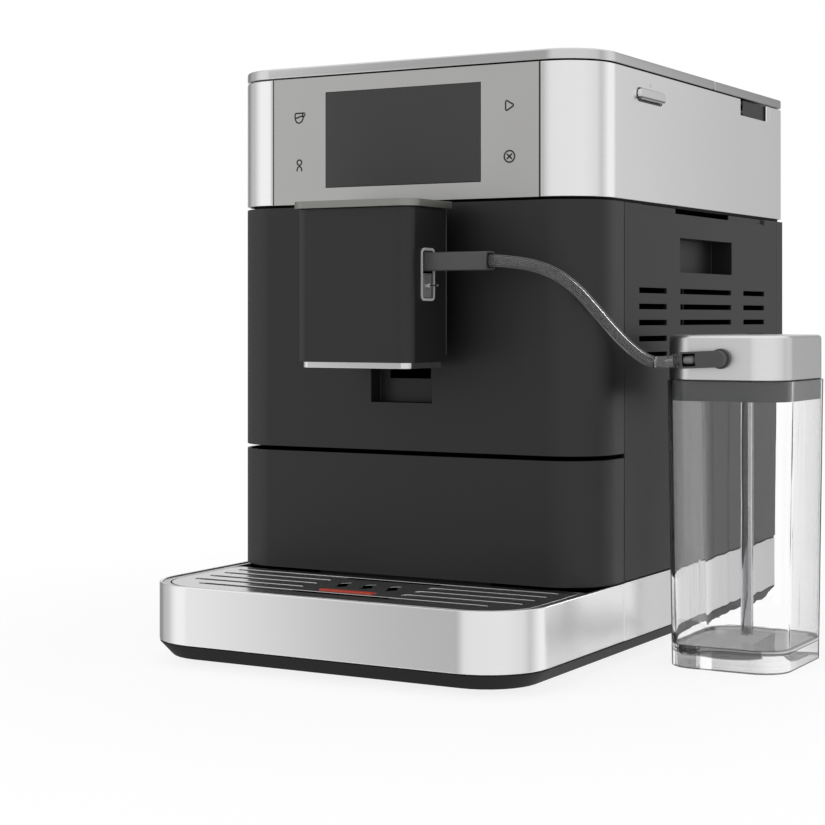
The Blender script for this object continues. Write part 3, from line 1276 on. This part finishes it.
# Spout, which slides down on its carriage
SPOUT_AXIS = (0, SPOUT_BACK, SPOUT_BOTTOM)
PORT_TOP = SPOUT_TOP - PORT_DROP
PORT_MIDDLE = PORT_TOP - PORT_HEIGHT / 2
PORT_INNER_WIDTH = PORT_WIDTH - 2 * BEZEL_RIM
PORT_INNER_HEIGHT = PORT_HEIGHT - 2 * BEZEL_RIM
PLUG_Z = PORT_TOP - BEZEL_RIM - PLUG_TOP_GAP - PLUG_SIZE / 2


def port_shape(low_x, high_x, width, height, corner):
    """A rounded bar along X with the milk port's long upright outline."""
    outline = rounded_plan(height / 2, -width / 2, width / 2, corner, corner)
    return along_x(prism(outline, 0, high_x - low_x), (low_x, PORT_Y, PORT_MIDDLE))


def make_spout(frame):
    def spout_piece(name, shape, material):
        return piece(name, shape, material, frame, SPOUT_AXIS)

    plan = rounded_plan(SPOUT_HALF, SPOUT_FRONT, SPOUT_BACK, SPOUT_CORNER, 0)
    housing = spout_piece("spout_housing", prism(plan, SPOUT_BOTTOM, SPOUT_TOP), "black_plastic")
    hollow = rounded_plan(SPOUT_INNER_HALF, SPOUT_INNER_FRONT, SPOUT_INNER_BACK, SPOUT_INNER_CORNER, 0)
    bezel_left = SPOUT_HALF - BEZEL_DEPTH
    hole = port_shape(
        bezel_left - OVERRUN,
        SPOUT_HALF + OVERRUN,
        PORT_WIDTH - 2 * BEZEL_RIM + BEZEL_RIM,
        PORT_HEIGHT - BEZEL_RIM,
        PORT_CORNER - BEZEL_RIM / 2,
    )
    cut(housing, prism(hollow, SPOUT_BOTTOM - OVERRUN, SPOUT_TOP + OVERRUN), hole)
    cap = prism(rounded_plan(CAP_HALF_WIDTH, -CAP_FRONT, -CAP_BACK, CAP_CORNER, 0), CAP_BOTTOM, CAP_TOP)
    spout_piece("spout_cap", cap, "brushed_steel")

    half = SPOUT_INNER_HALF - SEAT_GAP
    front, back = SPOUT_INNER_FRONT + SEAT_GAP, SPOUT_INNER_BACK - SEAT_GAP
    corner = SPOUT_INNER_CORNER - SEAT_GAP
    bottom = SPOUT_BOTTOM - TRIM_SHOWN
    ring = prism(rounded_plan(half, front, back, corner, 0), bottom, bottom + TRIM_HEIGHT)
    trim = spout_piece("spout_trim", ring, "polished_steel")
    opening = rounded_plan(half - TRIM_WALL, front + TRIM_WALL, back - TRIM_WALL, corner - TRIM_WALL, 0)
    cut(trim, prism(opening, bottom - OVERRUN, bottom + TRIM_HEIGHT + OVERRUN))

    plate_bottom = SPOUT_BOTTOM + MANIFOLD_RISE
    plate = prism(rounded_plan(half, front, back, corner, 0), plate_bottom, plate_bottom + MANIFOLD_THICKNESS)
    manifold = spout_piece("nozzle_block", plate, "dark_plastic")
    places = (-NOZZLE_SPREAD, NOZZLE_SPREAD)
    low = plate_bottom - NOZZLE_LENGTH
    high = plate_bottom + OVERRUN
    add(manifold, merged([prism(circle(x, NOZZLE_Y, NOZZLE_RADIUS), low, high) for x in places]))
    high = plate_bottom + MANIFOLD_THICKNESS + OVERRUN
    cut(manifold, merged([prism(circle(x, NOZZLE_Y, NOZZLE_BORE), low - OVERRUN, high) for x in places]))

    top = SPOUT_TOP - CARRIAGE_DROP
    bottom = top - CARRIAGE_HEIGHT
    side = GUIDE_HALF_WIDTH - RUNNING_GAP
    low = (-side, SPOUT_BACK + SEAT_GAP, bottom)
    carriage = spout_piece("spout_carriage", block(low, (side, GUIDE_DEPTH - RUNNING_GAP, top)), "dark_plastic")
    low = (-CARRIAGE_TONGUE_HALF_WIDTH, GUIDE_DEPTH - RUNNING_GAP - OVERRUN, bottom + CARRIAGE_TONGUE_RISE)
    high = (
        CARRIAGE_TONGUE_HALF_WIDTH,
        GUIDE_DEPTH - RUNNING_GAP + CARRIAGE_TONGUE_LENGTH,
        bottom + CARRIAGE_TONGUE_RISE + CARRIAGE_TONGUE_HEIGHT,
    )
    add(carriage, block(low, high))


def make_port(frame):
    def spout_piece(name, shape, material):
        return piece(name, shape, material, frame, SPOUT_AXIS)

    face = SPOUT_HALF + SEAT_GAP
    bezel = port_shape(face, face + BEZEL_PROUD, PORT_WIDTH, PORT_HEIGHT, PORT_CORNER)
    bezel = spout_piece("port_bezel", bezel, "polished_steel")
    inner_width = PORT_WIDTH - 2 * BEZEL_RIM
    inner_height = PORT_HEIGHT - 2 * BEZEL_RIM
    start, end = face - OVERRUN, face + BEZEL_PROUD + OVERRUN
    cut(bezel, port_shape(start, end, inner_width, inner_height, PORT_CORNER / 2))
    cover_half = PORT_WIDTH / 2 - BEZEL_RIM + SEAT_GAP / 2
    cover_bottom = PORT_MIDDLE - (PORT_HEIGHT - BEZEL_RIM) / 2 + SEAT_GAP + BEZEL_RIM / 2
    low = (SPOUT_HALF - SPOUT_WALL, PORT_Y - cover_half, cover_bottom)
    high = (SPOUT_HALF - SEAT_GAP, PORT_Y + cover_half, cover_bottom + PORT_COVER_HEIGHT)
    cover = spout_piece("port_cover", block(low, high), "grey_plastic")
    height = (low[2] + high[2]) / 2
    start = SPOUT_HALF + STEAM_PIN_PROUD - STEAM_PIN_LENGTH
    hole_start = (start - SEAT_GAP, PORT_Y, height)
    hole = rod_x(hole_start, STEAM_PIN_RADIUS + SEAT_GAP, STEAM_PIN_LENGTH + OVERRUN, ROUND_STEPS // 2)
    cut(cover, hole)
    pin = rod_x((start, PORT_Y, height), STEAM_PIN_RADIUS, STEAM_PIN_LENGTH, ROUND_STEPS // 2)
    spout_piece("steam_pin", pin, "polished_steel")


# Plug in the milk port, hose and elbow
PLUG_END = SPOUT_HALF + PLUG_OUTSIDE


def make_plug(frame):
    width = PORT_WIDTH - BEZEL_RIM - 2 * SEAT_GAP
    height = PORT_HEIGHT - BEZEL_RIM - 2 * SEAT_GAP
    corner = PORT_CORNER - BEZEL_RIM / 2 - SEAT_GAP
    left, right = SPOUT_HALF - SPOUT_WALL, SPOUT_HALF
    shoulder = port_shape(left, right, width, height, corner)
    plug = piece("milk_plug", shoulder, "grey_plastic", frame, SPOUT_AXIS)
    half = PLUG_SIZE / 2
    low = (left - OVERRUN, PORT_Y - width, PORT_MIDDLE - height)
    cut(plug, block(low, (right + OVERRUN, PORT_Y + width, PLUG_Z - half)))
    low = (SPOUT_HALF - PLUG_INSIDE, PORT_Y - half, PLUG_Z - half)
    add(plug, round_all(block(low, (PLUG_END + PLUG_COLLAR, PORT_Y + half, PLUG_Z + half)), PLUG_EDGE))
    reach = half - PLUG_COLLAR_WALL
    low = (PLUG_END, PORT_Y - reach, PLUG_Z - reach)
    cut(plug, block(low, (PLUG_END + PLUG_COLLAR + OVERRUN, PORT_Y + reach, PLUG_Z + reach)))


def smooth_line(route, count):
    """Evenly numbered points on a Catmull-Rom curve through the route."""
    points = [Vector(place) for place in route]
    ends = [2 * points[0] - points[1], *points, 2 * points[-1] - points[-2]]
    found = []
    for step in range(count):
        position = step * (len(points) - 1) / (count - 1)
        index = min(int(position), len(points) - 2)
        t = position - index
        before, start, end, after = ends[index : index + 4]
        found.append(
            start
            + (end - before) * (t / 2)
            + (2 * before - 5 * start + 4 * end - after) * (t * t / 2)
            + (3 * start - before - 3 * end + after) * (t * t * t / 2)
        )
    return found


def make_hose():
    line = bpy.data.curves.new("milk_hose", "CURVE")
    line.dimensions = "3D"
    line.bevel_depth = HOSE_DIAMETER / 2
    line.bevel_resolution = 2
    line.use_fill_caps = True
    spline = line.splines.new("POLY")
    points = smooth_line(HOSE_ROUTE, HOSE_POINTS)
    spline.points.add(len(points) - 1)
    for target, place in zip(spline.points, points):
        target.co = (*place, 1)
    hose = bpy.data.objects.new("milk_hose", line)
    bpy.context.collection.objects.link(hose)
    hose.parent = MACHINE
    line.materials.append(finish("clear_smoke"))


JUG_LID_AXIS = (JUG_X, (JUG_FRONT + JUG_BACK) / 2, JUG_LID_BOTTOM)


def make_elbow(frame):
    """A flat arm against the lid's front face; its left end takes the hose."""
    back = JUG_FRONT + JUG_LID_INSET - SEAT_GAP
    front = back - ELBOW_THICKNESS
    centre = Vector((JUG_LEFT + ELBOW_X_FROM_LEFT, 0, JUG_LID_BOTTOM + ELBOW_RISE))
    half = ELBOW_TALL / 2
    end = arc((0, 0), half, -math.pi / 2, math.pi)
    outline = [(-ELBOW_LENGTH, half), (-ELBOW_LENGTH, -half), *end]

    def placed(shape, start):
        """Lays the outline up against the lid, starting at a depth, and tilts it about the boss."""
        bmesh.ops.transform(shape, matrix=Matrix.Rotation(math.pi / 2, 4, "X"), verts=shape.verts)
        bmesh.ops.transform(shape, matrix=Matrix.Rotation(-ELBOW_TILT, 4, "Y"), verts=shape.verts)
        bmesh.ops.translate(shape, verts=shape.verts, vec=centre + Vector((0, start, 0)))
        return shape

    arm = placed(prism(outline, 0, ELBOW_THICKNESS - ELBOW_BOSS_THICKNESS), back - ELBOW_BOSS_THICKNESS)
    elbow = piece("milk_elbow", arm, "grey_plastic", frame, JUG_LID_AXIS)
    boss = placed(prism(circle(0, 0, ELBOW_BOSS_RADIUS), 0, ELBOW_BOSS_THICKNESS * 2), back)
    add(elbow, boss)
    wall = ELBOW_SOCKET_WALL
    deep = ELBOW_THICKNESS - ELBOW_BOSS_THICKNESS - wall
    socket = rectangle(wall - ELBOW_LENGTH, ELBOW_SOCKET_DEPTH - ELBOW_LENGTH, wall - half, half - wall)
    cut(elbow, placed(prism(socket, 0, deep + OVERRUN), front + deep))
    middle = (front + back - ELBOW_BOSS_THICKNESS) / 2
    reach = ELBOW_NOZZLE_LENGTH + ELBOW_SOCKET_DEPTH + wall
    nozzle = along_x(prism(circle(0, 0, ELBOW_NOZZLE_RADIUS), 0, reach), (0, 0, 0))
    shift = (-ELBOW_LENGTH - ELBOW_NOZZLE_LENGTH, 0, 0)
    bmesh.ops.translate(nozzle, verts=nozzle.verts, vec=shift)
    bmesh.ops.transform(nozzle, matrix=Matrix.Rotation(-ELBOW_TILT, 4, "Y"), verts=nozzle.verts)
    bmesh.ops.translate(nozzle, verts=nozzle.verts, vec=(centre.x, middle, centre.z))
    add(elbow, nozzle)


# Milk container
def jug_plan(inset):
    corner = JUG_CORNER - inset
    half = JUG_WIDTH / 2 - inset
    return rounded_plan(half, JUG_FRONT + inset, JUG_BACK - inset, corner, corner, JUG_X)


def make_jug():
    def inset_at(height):
        return JUG_TAPER * (1 - height / JUG_HEIGHT)

    outer = loft([(jug_plan(JUG_TAPER), 0), (jug_plan(0), JUG_HEIGHT)])
    jug = piece("milk_container", outer, "clear_smoke")
    above = JUG_HEIGHT + OVERRUN
    inner = loft(
        [(jug_plan(inset_at(JUG_BASE) + JUG_WALL), JUG_BASE), (jug_plan(inset_at(above) + JUG_WALL), above)]
    )
    cut(jug, inner)


def make_jug_lid(frame):
    def lid_piece(name, shape, material):
        return piece(name, shape, material, frame, JUG_LID_AXIS)

    outer = round_top(prism(jug_plan(JUG_LID_INSET), JUG_LID_BOTTOM, JUG_LID_TOP), JUG_LID_EDGE)
    lid = lid_piece("container_lid", outer, "brushed_steel")
    hollow = prism(
        jug_plan(JUG_LID_INSET + JUG_LID_WALL), JUG_LID_BOTTOM - OVERRUN, JUG_LID_TOP - JUG_LID_WALL
    )
    cut(lid, hollow)
    seal_inset = JUG_WALL + JUG_TAPER * SEAL_HEIGHT / JUG_HEIGHT + SEAT_GAP
    seal_top = JUG_LID_BOTTOM - SEAT_GAP
    seal_bottom = seal_top - SEAL_HEIGHT
    seal = lid_piece("lid_seal", prism(jug_plan(seal_inset), seal_bottom, seal_top), "rubber")
    cut(seal, prism(jug_plan(seal_inset + SEAL_WALL), seal_bottom - OVERRUN, seal_top + OVERRUN))
    x, y = JUG_LEFT + SUCTION_X, JUG_FRONT + SUCTION_Y
    bottom = JUG_BASE + SUCTION_FLOOR_GAP
    top = JUG_LID_TOP - JUG_LID_WALL - SEAT_GAP
    tube = lid_piece("suction_tube", prism(circle(x, y, SUCTION_RADIUS), bottom, top), "clear_smoke")
    cut(tube, prism(circle(x, y, SUCTION_BORE), bottom - OVERRUN, top - JUG_LID_WALL))


# Drip tray drawer with its grille, float, front cover and grounds container
DRAWER_AXIS = (0, -TRAY_REACH, BASE_BAND_BOTTOM)
BASIN_TOP = BASE_BAND_TOP - BASIN_BELOW_BAND
GRILLE_TOP = BASE_BAND_TOP - GRILLE_BELOW_BAND
GRILLE_BOTTOM = GRILLE_TOP - GRILLE_THICKNESS
FLOAT_BOTTOM = BASE_BAND_BOTTOM + BASIN_FLOOR + SEAT_GAP


def tray_plan(inset, back, back_radius=0):
    return rounded_plan(HALF - inset, inset - TRAY_REACH, back, TRAY_CORNER - inset, back_radius)


def make_drawer():
    frame = moving_frame("tray_drawer_axis", DRAWER_AXIS)

    def drawer_piece(name, shape, material):
        return piece(name, shape, material, frame, DRAWER_AXIS)

    outer = front_path(HALF, -TRAY_REACH, FRONT_SHELL_DEPTH, TRAY_CORNER)
    inner = front_path(HALF - BAND_WALL, BAND_WALL - TRAY_REACH, FRONT_SHELL_DEPTH, TRAY_CORNER - BAND_WALL)
    drawer_piece("tray_band", prism(outer + inner[::-1], BASE_BAND_BOTTOM, BASE_BAND_TOP), "brushed_steel")

    inset = BAND_WALL + SEAT_GAP
    front = tray_plan(inset, FRONT_SHELL_DEPTH)
    basin = drawer_piece("tray_basin", prism(front, BASE_BAND_BOTTOM, BASIN_TOP), "grey_plastic")
    low = (-BASIN_REAR_HALF_WIDTH, 0, BASE_BAND_BOTTOM)
    add(basin, block(low, (BASIN_REAR_HALF_WIDTH, DRAWER_END, BASIN_TOP)))
    floor = BASE_BAND_BOTTOM + BASIN_FLOOR
    ledge_top = GRILLE_BOTTOM - SEAT_GAP
    hollow_half = BASIN_REAR_HALF_WIDTH - BASIN_WALL
    wall = inset + BASIN_WALL
    hollow = rounded_plan(hollow_half, wall - TRAY_REACH, DRAWER_END - BASIN_WALL, TRAY_CORNER - wall, 0)
    seat = GRILLE_MARGIN - GRILLE_SEAT_GAP
    mouth_back = GRILLE_REAR - CROSSBAR
    rear_low = (-hollow_half, SEAT_GAP + PANEL_WALL / 2, ledge_top - LEDGE_THICKNESS - OVERRUN)
    cut(
        basin,
        prism(hollow, floor, ledge_top - LEDGE_THICKNESS),
        prism(tray_plan(seat + LEDGE_WIDTH, mouth_back), rear_low[2], ledge_top + OVERRUN),
        prism(tray_plan(seat, 0), ledge_top, BASIN_TOP + OVERRUN),
        block(rear_low, (hollow_half, DRAWER_END - BASIN_WALL, BASIN_TOP + OVERRUN)),
    )

    outer = front_path(HALF, 0, FRONT_SHELL_DEPTH, BODY_CORNER)
    inner = front_path(HALF - PANEL_WALL, PANEL_WALL, FRONT_SHELL_DEPTH, BODY_CORNER - PANEL_WALL)
    cover = prism(outer + inner[::-1], BODY_BOTTOM, LOWER_COVER_TOP)
    drawer_piece("lower_front_cover", cover, "black_plastic")

    front = PANEL_WALL + SEAT_GAP
    bottom = FLOAT_BOTTOM
    low = (-GROUNDS_HALF_WIDTH, front, bottom)
    high = (GROUNDS_HALF_WIDTH, GROUNDS_BACK, bottom + GROUNDS_HEIGHT)
    grounds = drawer_piece("grounds_container", block(low, high), "dark_plastic")
    low = (GROUNDS_WALL - GROUNDS_HALF_WIDTH, front + GROUNDS_WALL, bottom + GROUNDS_WALL)
    high = (GROUNDS_HALF_WIDTH - GROUNDS_WALL, GROUNDS_BACK - GROUNDS_WALL, high[2] + OVERRUN)
    cut(grounds, block(low, high))
    return frame


GRILLE_AXIS = (0, (GRILLE_REAR - TRAY_REACH) / 2, GRILLE_BOTTOM)


def make_grille(drawer):
    frame = moving_frame("grille_axis", GRILLE_AXIS, drawer, DRAWER_AXIS)
    plan = tray_plan(GRILLE_MARGIN, GRILLE_REAR, GRILLE_REAR_CORNER)
    grille = piece("drip_grille", prism(plan, GRILLE_BOTTOM, GRILLE_TOP), "polished_steel", frame, GRILLE_AXIS)
    below, above = GRILLE_BOTTOM - OVERRUN, GRILLE_TOP + OVERRUN
    slots = []
    for row, margin in enumerate(SLOT_SIDE_MARGINS):
        reach = HALF - margin
        y = SLOT_FIRST_Y - row * SLOT_PITCH
        spans = [(-reach, reach)]
        if row in SLOT_SPLIT_ROWS:
            spans = [(-reach, -PAD_HALF_WIDTH), (PAD_HALF_WIDTH, reach)]
        slots += [prism(obround(low, high, y, SLOT_WIDTH / 2), below, above) for low, high in spans]
    for x in (-WAVE_SPACING, 0, WAVE_SPACING):
        slots.append(prism(wave(x, WAVE_FRONT, WAVE_LENGTH, WAVE_WIDTH, WAVE_SWAY), below, above))
    reach_x, reach_y = FLOAT_WIDTH / 2 + RUNNING_GAP, FLOAT_DEPTH / 2 + RUNNING_GAP
    slots.append(block((-reach_x, FLOAT_Y - reach_y, below), (reach_x, FLOAT_Y + reach_y, above)))
    cut(grille, merged(slots))
    return frame


def make_float(grille):
    axis = (0, FLOAT_Y, FLOAT_BOTTOM)
    frame = moving_frame("float_axis", axis, grille, GRILLE_AXIS)
    base_top = FLOAT_BOTTOM + FLOAT_BASE_HEIGHT
    low = (-FLOAT_BASE_WIDTH / 2, FLOAT_Y - FLOAT_BASE_DEPTH / 2, FLOAT_BOTTOM)
    high = (FLOAT_BASE_WIDTH / 2, FLOAT_Y + FLOAT_BASE_DEPTH / 2, base_top)
    float_piece = piece("tray_float", block(low, high), "red_plastic", frame, axis)
    low = (-FLOAT_WIDTH / 2, FLOAT_Y - FLOAT_DEPTH / 2, base_top - OVERRUN)
    add(float_piece, block(low, (FLOAT_WIDTH / 2, FLOAT_Y + FLOAT_DEPTH / 2, GRILLE_TOP + FLOAT_PROUD)))


def main():
    make_base()
    make_chassis()
    make_body()
    make_power_inlet()
    make_side_door()
    make_top_band()
    make_release_button()
    make_hopper()
    make_front_lid()
    make_grind_dial()
    make_grinder()
    make_brew_group()
    make_powder_chute()
    make_rear_compartment()
    make_tank()
    spout = moving_frame("spout_axis", SPOUT_AXIS)
    make_spout(spout)
    make_port(spout)
    make_plug(spout)
    make_hose()
    lid = moving_frame("container_lid_axis", JUG_LID_AXIS)
    make_jug()
    make_jug_lid(lid)
    make_elbow(lid)
    drawer = make_drawer()
    make_float(make_grille(drawer))
    for made in bpy.data.objects:
        if made.type == "MESH":
            made.data.shade_smooth()
            made.data.set_sharp_from_angle(angle=math.radians(35))
    bpy.context.view_layer.update()


main()
